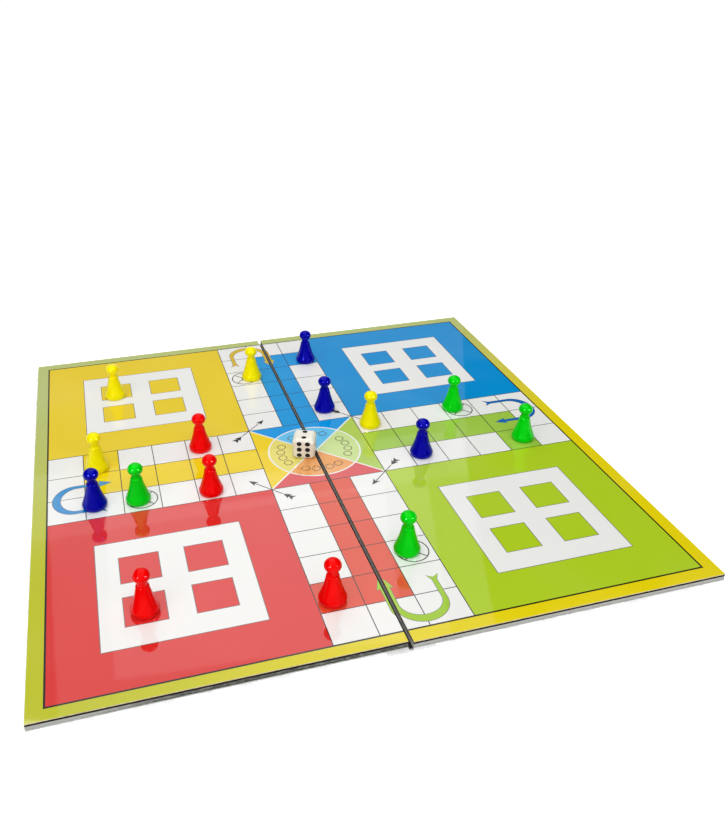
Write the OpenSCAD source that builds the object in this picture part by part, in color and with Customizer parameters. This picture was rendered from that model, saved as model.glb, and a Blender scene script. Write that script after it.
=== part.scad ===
// Folding two-sided game board in two laminated halves, with sixteen pawns and a die standing on it.
// Millimetres, +Z up, origin under the middle of the board. X runs across the slit, Y along it.

/* [Board] */
// Length of a track square along its arm
square_l = 21.3; // [14:0.1:30]
// Width of a track square across its arm
square_w = 22.8; // [15:0.1:32]
// Width of the plain border round the track
border_w = 8; // [3:0.5:20]
// How much of the front border is cut away on the left half
left_trim = 1.5; // [0:0.1:2.5]
// How much of the front border is cut away on the right half
right_trim = 0.4; // [0:0.1:2.5]
// Open slit between the two halves
slit_w = 2.4; // [1:0.1:5]
// Thickness of the dark upper ply
upper_ply_t = 1.2; // [0.6:0.1:3]
// Thickness of the grey lower ply
lower_ply_t = 1.9; // [0.6:0.1:3]
// Thickness of each printed sheet
sheet_t = 0.35; // [0.1:0.05:0.5]
// Thickness of each clear film, and of the tape
film_t = 0.15; // [0.1:0.05:0.5]
// How far the base film stands out past the outer edges
film_rim = 1.5; // [0.5:0.1:4]
// Width of the clear tape that joins the halves
tape_w = 24; // [12:1:60]

/* [Pawns] */
// Height of a pawn
pawn_h = 25.2; // [20:0.1:40]
// Widest diameter of a pawn
pawn_d = 14.4; // [11:0.2:20]
// Height of the widest ring above the board
flare_z = 2.6; // [1:0.1:5]
// Diameter of the ring that a pawn stands on
foot_d = 12.6; // [9:0.2:14]
// Width of that ring, from its edge in to the hollow
foot_ring_w = 0.9; // [0.6:0.1:2]
// How far the cone's side dips in, halfway up
cone_dip = 0.4; // [0:0.1:0.8]
// Diameter of the collar at the top of the cone
collar_d = 6.7; // [5.4:0.1:9]
// Height of the rounded shoulder over the collar
shoulder_h = 0.8; // [0.3:0.1:2]
// Diameter of the neck
neck_d = 5.1; // [3.5:0.1:6]
// Length of the neck, from the shoulder to the head
neck_l = 2.4; // [1:0.1:5]
// Width of the squashed ball head
head_d = 8.8; // [7:0.1:12]
// Height of the head from pole to pole
head_h = 7.2; // [5:0.1:10]
// Wall of the cone at the top of the hollow
pawn_wall = 1.4; // [0.8:0.1:2]
// Solid left over the hollow, up to the collar
hollow_roof = 1.5; // [0.5:0.1:4]

/* [Die] */
// Length of the die's edge
die_w = 14; // [10:0.5:20]
// Rounding of the die's edges
die_edge_r = 2.6; // [0.8:0.1:3]
// How much a ball takes off each rounded corner
die_corner_cut = 0.8; // [0.1:0.1:1.5]
// Diameter of a dimple at the face
pip_d = 3.3; // [1.6:0.1:3.4]
// Depth of a dimple
pip_depth = 0.9; // [0.4:0.05:1.2]
// How far the paint lies below the die's surface
pip_sink = 0.1; // [0.05:0.05:0.25]
// Gap between the paint and its dimple
pip_clearance = 0.03; // [0.01:0.01:0.04]
// Offset of the two columns of the six from the middle
pip_column = 2.6; // [1.9:0.1:4]
// Pitch of the three rows of the six
pip_row = 4.1; // [3.5:0.1:4.6]
// Offset of a corner pip from the middle, and of each pip of the two
pip_corner = 3.4; // [2.5:0.1:4.2]
// Turn of the die about the vertical
die_turn = -21; // [-45:1:45]

/* [Hidden] */
COLOURS = ["yellow", "red", "blue", "green"];
pawns_each = 4;
$fn = 64;

LEFT = -1;
RIGHT = 1;

// The track is 15 squares each way. The six outer squares of an arm are square_l long, and the three
// middle lines are square_w wide.
outer_squares = 6;
arm_squares = 3;
middle_line = outer_squares + arm_squares / 2;
track_half = outer_squares * square_l + arm_squares * square_w / 2;
half_w = track_half + border_w;
film_span = 2 * (half_w + film_rim);

// Heights of the layers, from the underside up
ladder_z = film_t;
lower_z = ladder_z + sheet_t;
upper_z = lower_z + lower_ply_t;
ludo_z = upper_z + upper_ply_t;
top_z = ludo_z + sheet_t;
board_t = top_z + film_t;

// Distance of grid line k, which may be a fraction, from the track's left or front edge
function grid_line(k) =
    min(k, outer_squares) * square_l
    + max(0, min(k - outer_squares, arm_squares)) * square_w
    + max(0, k - outer_squares - arm_squares) * square_l;

// Place on the board of a spot given in grid lines [across, along], moved out by half the slit
function spot_xy(spot) = [
    grid_line(spot[0]) - track_half + (spot[0] < middle_line ? LEFT : RIGHT) * slit_w / 2,
    grid_line(spot[1]) - track_half];

// Where each pawn stands, in grid lines across and along the track
PAWN_SPOTS = [
    [[2.15, 12.40], [6.74, 12.45], [1.39, 8.24], [9.41, 8.39]],
    [[4.41, 8.47], [4.37, 6.34], [2.19, 2.20], [6.36, 1.37]],
    [[1.25, 6.53], [8.63, 13.24], [8.35, 9.68], [10.33, 6.52]],
    [[2.40, 6.47], [12.31, 8.62], [13.63, 6.50], [8.38, 2.54]]];
PAWN_TINTS = [[0.98, 0.90, 0.02], [0.90, 0.02, 0.03], [0.02, 0.03, 0.55], [0.02, 0.72, 0.10]];
DIE_SPOT = [7.25, 7.42];

// One layer of one half: a flat slab from the slit to the outer edge, trimmed along the front
module half_layer(side, z, t) {
    trim = side == LEFT ? left_trim : right_trim;
    translate([side == LEFT ? -slit_w / 2 - half_w : slit_w / 2, trim - half_w, z])
        cube([half_w, 2 * half_w - trim, t]);
}

module top_film(side) {
    color([0.92, 0.95, 0.97, 0.3]) half_layer(side, top_z, film_t);
}

module ludo_sheet(side) {
    color([0.95, 0.85, 0.25]) half_layer(side, ludo_z, sheet_t);
}

module upper_ply(side) {
    color([0.10, 0.07, 0.05]) half_layer(side, upper_z, upper_ply_t);
}

module lower_ply(side) {
    color([0.55, 0.55, 0.53]) half_layer(side, lower_z, lower_ply_t);
}

module ladder_sheet(side) {
    color([0.20, 0.45, 0.75]) half_layer(side, ladder_z, sheet_t);
}

// The base film stops at the tape, which lies in the same layer
module base_film(side) {
    width = slit_w / 2 + half_w + film_rim - tape_w / 2;
    color([0.92, 0.95, 0.97, 0.3])
        translate([side == LEFT ? -tape_w / 2 - width : tape_w / 2, -film_span / 2, 0])
            cube([width, film_span, film_t]);
}

module hinge_tape() {
    color([0.85, 0.88, 0.90, 0.5])
        translate([-tape_w / 2, -film_span / 2, 0])
            cube([tape_w, film_span, film_t]);
}

// Points of an elliptic arc about centre, with half axes r, from angle a to angle b
function arc(centre, r, a, b, steps) =
    [for (i = [0:steps]) let (t = a + (b - a) * i / steps) centre + [r[0] * cos(t), r[1] * sin(t)]];

// Points between two ends, with the middle drawn in towards the axis by dip along a parabola
function dipped(start, end, dip, steps) =
    [for (i = [1:steps - 1]) let (t = i / steps) start + (end - start) * t - [4 * dip * t * (1 - t), 0]];

// A pawn's profile, [radius, height]: foot, cone, collar, neck and head, then the hollow from inside
foot_steps = 8;
cone_steps = 8;
shoulder_steps = 6;
head_steps = 18;
head_z = pawn_h - head_h / 2;
head_start = -acos(neck_d / head_d);
neck_top_z = head_z + head_h / 2 * sin(head_start);
collar_z = neck_top_z - neck_l - shoulder_h;
hollow_z = collar_z - hollow_roof;
pawn_profile = concat(
    arc([foot_d / 2, flare_z], [(pawn_d - foot_d) / 2, flare_z], -90, 0, foot_steps),
    dipped([pawn_d / 2, flare_z], [collar_d / 2, collar_z], cone_dip, cone_steps),
    arc([neck_d / 2, collar_z], [(collar_d - neck_d) / 2, shoulder_h], 0, 90, shoulder_steps),
    arc([0, head_z], [head_d / 2, head_h / 2], head_start, 90, head_steps),
    [[0, hollow_z], [collar_d / 2 - pawn_wall, hollow_z], [foot_d / 2 - foot_ring_w, 0]]);

module pawn(colour, n) {
    color(PAWN_TINTS[colour])
        translate([each spot_xy(PAWN_SPOTS[colour][n - 1]), board_t])
            rotate_extrude()
                polygon(pawn_profile);
}

// A square with true round corners
module rounded_square(w, r) {
    inside = w - 2 * r;
    square([w, inside], center = true);
    square([inside, w], center = true);
    for (x = [-1, 1], y = [-1, 1])
        translate([x, y] * inside / 2) circle(r);
}

// Half the diagonal from corner to corner of three crossed prisms, less what the ball takes off
die_ball_r = sqrt(3) * (die_w / 2 - die_edge_r + die_edge_r / sqrt(2)) - die_corner_cut;

module die_prism(inset) {
    w = die_w - 2 * inset;
    linear_extrude(w, center = true) rounded_square(w, die_edge_r - inset);
}

// The die's rounded block: three crossed prisms and a ball, each drawn in by inset
module die_block(inset = 0) {
    intersection() {
        die_prism(inset);
        rotate([90, 0, 0]) die_prism(inset);
        rotate([0, 90, 0]) die_prism(inset);
        sphere(die_ball_r - inset);
    }
}

// The faces of the die: number of pips, and the turn that brings the top there
DIE_FACES = [
    [2, [0, 0, 0]], [5, [180, 0, 0]], [6, [90, 0, 0]],
    [1, [-90, 0, 0]], [3, [0, 90, 0]], [4, [0, -90, 0]]];
PIP_CORNERS = [for (x = [-1, 1], y = [-1, 1]) [x, y] * pip_corner];

// Places of the pips on a face
function pip_places(count) =
    count == 2 ? [for (y = [-1, 1]) [0, y * pip_corner]] :
    count == 3 ? [for (i = [-1:1]) [i, i] * pip_corner] :
    count == 4 ? PIP_CORNERS :
    count == 5 ? concat(PIP_CORNERS, [[0, 0]]) :
    count == 6 ? [for (x = [-1, 1]) for (y = [-1:1]) [x * pip_column, y * pip_row]] :
    [[0, 0]];

// A dimple is cut by a ball that meets the face in a circle of pip_d
pip_ball_r = (pip_d * pip_d / 4 + pip_depth * pip_depth) / (2 * pip_depth);
pip_ball_z = pip_ball_r - pip_depth;

module at_die() {
    translate([each spot_xy(DIE_SPOT), board_t + die_w / 2]) rotate([0, 0, die_turn]) children();
}

// The children at every pip, with the face at their zero height
module at_pips() {
    for (face = DIE_FACES, place = pip_places(face[0]))
        rotate(face[1]) translate([place[0], place[1], die_w / 2]) children();
}

module die_cube() {
    color([0.95, 0.93, 0.86]) at_die() difference() {
        die_block();
        at_pips() translate([0, 0, pip_ball_z]) sphere(pip_ball_r);
    }
}

// The paint fills each dimple up to just under the die's surface
module die_pips() {
    color([0.03, 0.03, 0.08]) at_die() intersection() {
        at_pips() translate([0, 0, pip_ball_z]) sphere(pip_ball_r - pip_clearance);
        die_block(pip_sink);
    }
}

top_film(LEFT);  // top_film_left
top_film(RIGHT);  // top_film_right
ludo_sheet(LEFT);  // ludo_sheet_left
ludo_sheet(RIGHT);  // ludo_sheet_right
upper_ply(LEFT);  // upper_ply_left
upper_ply(RIGHT);  // upper_ply_right
lower_ply(LEFT);  // lower_ply_left
lower_ply(RIGHT);  // lower_ply_right
ladder_sheet(LEFT);  // ladder_sheet_left
ladder_sheet(RIGHT);  // ladder_sheet_right
base_film(LEFT);  // base_film_left
base_film(RIGHT);  // base_film_right
hinge_tape();
die_cube();
die_pips();
for (colour = [0:len(COLOURS) - 1], n = [1:pawns_each])
    pawn(colour, n);
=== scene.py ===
"""Looks of a folding two-sided game board: its prints, films, plies and tape, sixteen pawns and a die.

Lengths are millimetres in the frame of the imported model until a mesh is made, which is in metres. Lamps and
camera are placed in metres. The upper print is a cross-shaped race track in four like quarters. The lower
print is a numbered track with ladders and snakes. Each ink of a print is its own thin surface, cut at the
slit, so that every edge of the print is sharp.
"""

import logging
import math
from dataclasses import dataclass, field
from enum import Enum
from functools import cache
from typing import Mapping, Sequence

import bpy
import numpy as np
from mathutils import Matrix, Vector


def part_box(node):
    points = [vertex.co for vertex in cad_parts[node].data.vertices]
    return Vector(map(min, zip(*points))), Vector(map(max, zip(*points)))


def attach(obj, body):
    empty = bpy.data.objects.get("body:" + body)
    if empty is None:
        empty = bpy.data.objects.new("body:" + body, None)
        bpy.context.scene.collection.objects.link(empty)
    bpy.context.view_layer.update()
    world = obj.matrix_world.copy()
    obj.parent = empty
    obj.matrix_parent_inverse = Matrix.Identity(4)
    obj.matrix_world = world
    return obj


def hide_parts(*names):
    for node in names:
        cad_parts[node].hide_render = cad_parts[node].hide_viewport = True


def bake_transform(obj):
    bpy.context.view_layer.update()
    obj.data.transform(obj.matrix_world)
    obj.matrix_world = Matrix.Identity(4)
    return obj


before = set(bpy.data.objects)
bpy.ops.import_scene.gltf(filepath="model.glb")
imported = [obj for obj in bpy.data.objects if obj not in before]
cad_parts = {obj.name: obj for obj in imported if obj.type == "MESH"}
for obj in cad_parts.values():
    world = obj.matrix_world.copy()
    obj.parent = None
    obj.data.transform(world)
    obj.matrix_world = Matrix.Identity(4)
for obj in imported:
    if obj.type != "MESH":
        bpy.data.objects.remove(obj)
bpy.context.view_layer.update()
MM = 0.001
SEED = 11
LOG = logging.getLogger("game_board")

Colour = tuple[float, float, float]
Number = float | int
BLACK = (0.0, 0.0, 0.0, 1.0)
CLEAN_WHITE = (1.0, 1.0, 1.0, 1.0)

# A screen's curve from level to light: a straight foot, then a power of the level plus an offset
FULL_LEVEL = 255
FOOT_END = 0.04045
FOOT_SLOPE = 12.92
CURVE_OFFSET = 0.055
CURVE_POWER = 2.4


class Side(Enum):
    """The two halves of the board, by the sign of their X."""

    LEFT = -1
    RIGHT = 1

    @property
    def label(self) -> str:
        """The half's word in the names of nodes and pieces."""
        return self.name.lower()

    @property
    def body(self) -> str:
        """The body that the half's pieces ride on."""
        return f"{self.label}_half"


def linear(red: Number, green: Number, blue: Number) -> tuple[float, float, float, float]:
    """Turns a screen colour of 0 to 255 into the light-linear colour that a shader takes.

    Args:
        red: Red, 0 to 255.
        green: Green, 0 to 255.
        blue: Blue, 0 to 255.

    Returns:
        The linear colour with an alpha of 1.
    """
    screen = np.array([red, green, blue], float) / FULL_LEVEL
    curve = ((screen + CURVE_OFFSET) / (1 + CURVE_OFFSET)) ** CURVE_POWER
    light = np.where(screen <= FOOT_END, screen / FOOT_SLOPE, curve)
    return (*(float(channel) for channel in light), 1.0)


# Shader expressions


class Value:
    """A shader socket that takes part in Python expressions: each operator adds one Math node."""

    def __init__(self, graph: "Graph", socket: bpy.types.NodeSocket) -> None:
        """Keeps the graph that the socket belongs to, and the socket."""
        self.graph = graph
        self.socket = socket

    def _math(self, operation: str, first: "Value | Number", second: "Value | Number") -> "Value":
        """Adds a Math node on two terms.

        Args:
            operation: The node's operation.
            first: First term.
            second: Second term.

        Returns:
            The node's result.
        """
        return self.graph.add("ShaderNodeMath", {"operation": operation}, {0: first, 1: second})

    def __add__(self, other: "Value | Number") -> "Value":
        """The sum of two values."""
        return self._math("ADD", self, other)

    def __radd__(self, other: Number) -> "Value":
        """The sum with a number on the left."""
        return self._math("ADD", other, self)

    def __sub__(self, other: "Value | Number") -> "Value":
        """The difference of two values."""
        return self._math("SUBTRACT", self, other)

    def __rsub__(self, other: Number) -> "Value":
        """A number less the value."""
        return self._math("SUBTRACT", other, self)

    def __mul__(self, other: "Value | Number") -> "Value":
        """The product of two values."""
        return self._math("MULTIPLY", self, other)

    def __rmul__(self, other: Number) -> "Value":
        """The product with a number on the left."""
        return self._math("MULTIPLY", other, self)

    def __abs__(self) -> "Value":
        """The value without its sign."""
        return self._math("ABSOLUTE", self, 0.0)

    def larger(self, other: "Value | Number") -> "Value":
        """The larger of two values."""
        return self._math("MAXIMUM", self, other)

    def between(self, low: Number, high: Number) -> "Value":
        """A smooth step: 0 up to low, 1 from high on."""
        inputs = {"Value": self, "From Min": low, "From Max": high}
        return self.graph.add("ShaderNodeMapRange", {"interpolation_type": "SMOOTHSTEP"}, inputs)


class Graph:
    """The node tree of one material or of the world."""

    def __init__(self, tree: bpy.types.NodeTree) -> None:
        """Empties the tree."""
        self.tree = tree
        self.tree.nodes.clear()

    def add(
        self,
        kind: str,
        settings: Mapping[str, object] | None = None,
        inputs: Mapping[str | int, object] | None = None,
        output: str | int = 0,
    ) -> Value:
        """Adds one node.

        Args:
            kind: The node's type.
            settings: The node's own settings, set first.
            inputs: Values or links of its input sockets, by name or number.
            output: The output socket to return.

        Returns:
            That output.
        """
        node = self.tree.nodes.new(kind)
        for name, setting in (settings or {}).items():
            setattr(node, name, setting)
        for key, given in (inputs or {}).items():
            if isinstance(given, Value):
                self.tree.links.new(given.socket, node.inputs[key])
            else:
                node.inputs[key].default_value = given
        return Value(self, node.outputs[output])

    def place(self, stretch: Colour = (1.0, 1.0, 1.0)) -> Value:
        """The Object coordinates in metres, stretched along the axes."""
        coords = self.add("ShaderNodeTexCoord", output="Object")
        return self.add("ShaderNodeMapping", None, {"Vector": coords, "Scale": stretch})

    def axis(self, name: str) -> Value:
        """One Object coordinate, X, Y or Z, in metres."""
        coords = self.add("ShaderNodeTexCoord", output="Object")
        return self.add("ShaderNodeSeparateXYZ", None, {"Vector": coords}, output=name)

    def noise(self, feature: float, detail: float = 2.0, stretch: Colour = (1.0, 1.0, 1.0)) -> Value:
        """Cloudy noise of about 0 to 1.

        Args:
            feature: Size of a cloud in millimetres.
            detail: Octaves of finer noise.
            stretch: Scale along each axis: below 1 draws the clouds out.

        Returns:
            The noise.
        """
        scale = 1 / (feature * MM)
        inputs = {"Vector": self.place(stretch), "Scale": scale, "Detail": detail}
        return self.add("ShaderNodeTexNoise", None, inputs, output="Fac")

    def mix(self, factor: Value | Number, first: object, second: object) -> Value:
        """Mixes two colours: the first at factor 0, the second at 1."""
        settings = {"data_type": "RGBA", "clamp_factor": True}
        return self.add("ShaderNodeMix", settings, {0: factor, 6: first, 7: second}, output=2)

    def bump(self, height: Value, depth: float) -> Value:
        """The surface normal bent by a height of 0 to 1 that is depth millimetres deep."""
        inputs = {"Strength": 1.0, "Distance": depth * MM, "Height": height}
        return self.add("ShaderNodeBump", None, inputs, output="Normal")

    def ray(self, kind: str) -> Value:
        """Whether the light's path is of a kind: Camera, Glossy or Transmission."""
        return self.add("ShaderNodeLightPath", output=f"Is {kind} Ray")

    def surface(self, **inputs: object) -> None:
        """Ends the tree in one Principled surface.

        Args:
            inputs: Its sockets, with an underscore for each space of their names.
        """
        sockets = {name.replace("_", " "): given for name, given in inputs.items()}
        self.end(self.add("ShaderNodeBsdfPrincipled", None, sockets, output="BSDF"))

    def end(self, shader: Value, kind: str = "ShaderNodeOutputMaterial") -> None:
        """Adds the tree's output node and links a shader to its surface."""
        node = self.tree.nodes.new(kind)
        self.tree.links.new(shader.socket, node.inputs["Surface"])


@dataclass(frozen=True)
class Finish:
    """What a surface looks like. Each kind of finish builds its own nodes."""

    name: str

    @cache
    def material(self) -> bpy.types.Material:
        """The finish as a material, made once.

        Returns:
            The material.
        """
        made = bpy.data.materials.new(self.name)
        made.use_nodes = True
        self.dress(Graph(made.node_tree))
        return made

    def dress(self, graph: Graph) -> None:
        """Builds the nodes of the finish.

        Args:
            graph: The material's nodes.
        """
        raise NotImplementedError


@dataclass(frozen=True)
class Ink(Finish):
    """A printed ink under glossy film.

    The tone drifts a little over the sheet and has the fine grain of the paper. The film is smooth, with
    slow waves that bend what it mirrors.
    """

    colour: Colour
    layer: int = 1
    drift: float = 0.05
    drift_size: float = 70.0
    grain: float = 0.035
    grain_size: float = 0.5
    gloss: float = 0.035
    shine: float = 1.0
    wave_size: float = 26.0
    wave_depth: float = 0.035
    ripple: float = 0.12
    ripple_size: float = 7.0

    def tint(self, graph: Graph) -> object:
        """The ink's colour before its drift and grain."""
        return linear(*self.colour)

    def dress(self, graph: Graph) -> None:
        """Ink colour, darkened and lightened by drift and grain, under wavy film.

        Args:
            graph: The material's nodes.
        """
        drift = (graph.noise(self.drift_size) - 0.5) * self.drift
        tone = drift + (graph.noise(self.grain_size) - 0.5) * self.grain
        darker = graph.mix((0 - tone) * 2, self.tint(graph), BLACK)
        toned = graph.mix(tone * 2, darker, CLEAN_WHITE)
        ripples = graph.noise(self.ripple_size, detail=1.0) * self.ripple
        waves = graph.noise(self.wave_size, detail=1.0) + ripples
        graph.surface(
            Base_Color=toned,
            Roughness=self.gloss,
            Specular_IOR_Level=self.shine,
            Normal=graph.bump(waves, self.wave_depth),
        )


@dataclass(frozen=True)
class FadedInk(Ink):
    """An ink greener on the left of the sheet and warmer on the right, with a painted reflection towards the
    back.
    """

    right: Colour = (236, 216, 0)
    # The back tone is a painted reflection, paler than the ink
    back: Colour = (190, 200, 122)
    across: tuple[float, float] = (-160.0, 20.0)
    along: tuple[float, float] = (-60.0, 160.0)
    lean: float = 0.2

    def tint(self, graph: Graph) -> object:
        """The ink's colour, mixed by the place on the sheet, with the painted reflection towards the back.

        Args:
            graph: The material's nodes.

        Returns:
            The mixed colour.
        """
        rightness = graph.axis("X").between(*(edge * MM for edge in self.across))
        leaning = graph.axis("Y") - graph.axis("X") * self.lean
        veil_share = leaning.between(*(edge * MM for edge in self.along))
        front = graph.mix(rightness, linear(*self.colour), linear(*self.right))
        # Painted reflection: the colour turns paler towards the back
        return graph.mix(veil_share, front, linear(*self.back))


@dataclass(frozen=True)
class CutPaper(Finish):
    """The uncoated edge of a printed sheet: pale with fibres along the cut."""

    colour: Colour
    fibre: Colour = (172, 150, 118)
    fibre_size: float = 1.2
    fibre_stretch: Colour = (1.0, 1.0, 6.0)
    fibre_edges: tuple[float, float] = (0.35, 0.75)
    roughness: float = 0.8
    fibre_gloss: float = 0.15
    depth: float = 0.05

    def dress(self, graph: Graph) -> None:
        """Pale paper with darker fibres.

        Args:
            graph: The material's nodes.
        """
        fibres = graph.noise(self.fibre_size, detail=4.0, stretch=self.fibre_stretch)
        base = graph.mix(fibres.between(*self.fibre_edges), linear(*self.colour), linear(*self.fibre))
        graph.surface(
            Base_Color=base,
            Roughness=self.roughness - fibres * self.fibre_gloss,
            Normal=graph.bump(fibres, self.depth),
        )


@dataclass(frozen=True)
class CutBoard(Finish):
    """The cut edge of a board ply: pressed fibres in streaks along the edge, with specks."""

    dark: Colour
    pale: Colour
    speck: Colour
    speck_size: float
    speck_from: float
    roughness: float
    speck_edge: float = 0.12
    speck_stretch: Colour = (1.0, 1.0, 2.0)
    speck_height: float = 0.5
    streak_size: float = 2.5
    streak_stretch: Colour = (1.0, 1.0, 7.0)
    streak_edges: tuple[float, float] = (0.35, 0.68)
    streak_roughness: float = 0.2
    shine: float = 0.1
    depth: float = 0.12

    def dress(self, graph: Graph) -> None:
        """Streaks of two tones, specks, and a pressed surface.

        Args:
            graph: The material's nodes.
        """
        streaks = graph.noise(self.streak_size, detail=5.0, stretch=self.streak_stretch)
        specks = graph.noise(self.speck_size, detail=3.0, stretch=self.speck_stretch)
        base = graph.mix(streaks.between(*self.streak_edges), linear(*self.dark), linear(*self.pale))
        specked = specks.between(self.speck_from, self.speck_from + self.speck_edge)
        base = graph.mix(specked, base, linear(*self.speck))
        graph.surface(
            Base_Color=self.stained(graph, base),
            Roughness=self.roughness + streaks * self.streak_roughness,
            Specular_IOR_Level=self.shine,
            Normal=graph.bump(streaks + specks * self.speck_height, self.depth),
        )

    def stained(self, graph: Graph, base: Value) -> Value:
        """The colour of the ply with its painted shade, of which a plain ply has none."""
        return base


@dataclass(frozen=True)
class StainedBoard(CutBoard):
    """A ply painted with shade: darker near the slit and along its foot, paler towards the ends of the edge.
    """

    # The painted shadow along the foot: its colour and the heights where it fades out
    stain: Colour = (58, 60, 55)
    stain_z: tuple[float, float] = (0.75, 1.15)
    bleach: Colour = (196, 197, 194)
    bleach_x: tuple[float, float] = (100.0, 155.0)
    bleach_most: float = 0.8
    wander: float = 0.3
    wander_size: float = 4.0

    def stained(self, graph: Graph, base: Value) -> Value:
        """Pales the ply away from the slit, and paints shade along the foot of the rest.

        Args:
            graph: The material's nodes.
            base: The colour of the ply before its paling and painted shade.

        Returns:
            The colour with its painted shade.
        """
        # Paler away from the slit; what stays dark near the slit is painted shade
        outer = abs(graph.axis("X")).between(*(edge * MM for edge in self.bleach_x))
        paled = graph.mix(outer * self.bleach_most, base, linear(*self.bleach))
        height = graph.axis("Z") + (graph.noise(self.wander_size) - 0.5) * (self.wander * MM)
        # Painted shadow: darker below a wandering height, along the foot
        foot = 1 - height.between(*(edge * MM for edge in self.stain_z))
        return graph.mix(foot * (1 - outer), paled, linear(*self.stain))


@dataclass(frozen=True)
class ClearFilm(Finish):
    """Clear plastic film: mostly see-through, cloudier where it is creased."""

    colour: Colour
    clear: float
    cloudy: float
    crease: float = 14.0
    crease_colour: Colour = (236, 240, 241)
    crease_edges: tuple[float, float] = (0.35, 0.75)
    crease_roughness: float = 0.12
    gloss: float = 0.05
    depth: float = 0.05

    def cover(self, graph: Graph, creases: Value) -> tuple[Value, Value]:
        """The film's colour and how much it hides.

        Args:
            graph: The material's nodes.
            creases: How creased the film is, 0 to 1.

        Returns:
            The colour, and the share of light that it stops.
        """
        hidden = creases.between(*self.crease_edges) * (self.cloudy - self.clear) + self.clear
        return graph.mix(creases, linear(*self.colour), linear(*self.crease_colour)), hidden

    def dress(self, graph: Graph) -> None:
        """A glossy film whose cover follows its creases.

        Args:
            graph: The material's nodes.
        """
        creases = graph.noise(self.crease, detail=3.0)
        colour, hidden = self.cover(graph, creases)
        graph.surface(
            Base_Color=colour,
            Roughness=creases * self.crease_roughness + self.gloss,
            Alpha=hidden,
            Normal=graph.bump(creases, self.depth),
        )


@dataclass(frozen=True)
class HingeFilm(ClearFilm):
    """Hinge tape: clear where it is stuck down, painted dark with paler flecks as shade inside the slit."""

    bare_x: tuple[float, float] = (1.02, 1.2)
    bare_y: tuple[float, float] = (169.0, 171.0)
    # The painted shade inside the slit: its colour, how much it hides, and its paler flecks
    dust: Colour = (22, 21, 19)
    dust_cover: float = 0.96
    fluff: Colour = (56, 54, 49)
    fluff_size: float = 1.5
    fluff_edges: tuple[float, float] = (0.4, 0.8)

    def cover(self, graph: Graph, creases: Value) -> tuple[Value, Value]:
        """Film outside the slit, and painted shade with paler flecks inside it.

        Args:
            graph: The material's nodes.
            creases: How creased the film is, 0 to 1.

        Returns:
            The colour, and the share of light that it stops.
        """
        colour, hidden = super().cover(graph, creases)
        stuck = abs(graph.axis("X")).between(*(edge * MM for edge in self.bare_x))
        ends = abs(graph.axis("Y")).between(*(edge * MM for edge in self.bare_y))
        unshaded = stuck.larger(ends)
        flecked = graph.noise(self.fluff_size, detail=3.0).between(*self.fluff_edges)
        # Painted shade of the deep slit, flecked paler
        shaded_slit = graph.mix(flecked, linear(*self.dust), linear(*self.fluff))
        return graph.mix(unshaded, shaded_slit, colour), unshaded * (hidden - self.dust_cover) + self.dust_cover


@dataclass(frozen=True)
class MouldedPlastic(Finish):
    """Glossy moulded plastic with a faint flow of tone and slightly uneven gloss."""

    colour: Colour
    shade: Colour
    roughness: float = 0.12
    shine: float = 0.5
    glow: float = 0.1
    glow_depth: float = 1.2
    mirror: Colour = (255, 255, 255)
    swirl_size: float = 6.0
    swirl_edges: tuple[float, float] = (0.3, 0.8)
    swirl_roughness: float = 0.10
    grain_size: float = 0.6
    grain_roughness: float = 0.04
    grain_height: float = 0.15
    uneven_mean: float = 0.06
    depth: float = 0.05

    def dress(self, graph: Graph) -> None:
        """Two near tones in slow swirls, a little light under the skin, and a thin wave in the gloss.

        Args:
            graph: The material's nodes.
        """
        swirl = graph.noise(self.swirl_size, detail=3.0)
        grain = graph.noise(self.grain_size)
        uneven = swirl * self.swirl_roughness + grain * self.grain_roughness
        base = graph.mix(swirl.between(*self.swirl_edges), linear(*self.colour), linear(*self.shade))
        graph.surface(
            Base_Color=base,
            Roughness=uneven + (self.roughness - self.uneven_mean),
            Specular_IOR_Level=self.shine,
            Specular_Tint=linear(*self.mirror),
            Subsurface_Weight=self.glow,
            Subsurface_Radius=(self.glow_depth * MM,) * 3,
            Subsurface_Scale=1.0,
            Normal=graph.bump(swirl + grain * self.grain_height, self.depth),
        )


@dataclass(frozen=True)
class PipPaint(Finish):
    """Thick dark paint that has settled in a dimple."""

    colour: Colour = (7, 6, 14)
    worn: Colour = (16, 14, 28)
    patch_size: float = 0.9
    patch_roughness: float = 0.25
    roughness: float = 0.3
    shine: float = 0.25
    depth: float = 0.04

    def dress(self, graph: Graph) -> None:
        """Dark paint with a patchy gloss.

        Args:
            graph: The material's nodes.
        """
        patches = graph.noise(self.patch_size, detail=3.0)
        graph.surface(
            Base_Color=graph.mix(patches, linear(*self.colour), linear(*self.worn)),
            Roughness=patches * self.patch_roughness + self.roughness,
            Specular_IOR_Level=self.shine,
            Normal=graph.bump(patches, self.depth),
        )


# Surfaces

# Twice the area of the least face that is kept, in square millimetres
LEAST_AREA = 1e-5
# Least distance between two points of an outline
LEAST_STEP = 1e-6
# Least step in height between shapes of one ink that cross
HAIR = 0.001
# Half the angle of a quarter of the track, in degrees
HALF_QUARTER = 45.0


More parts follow.
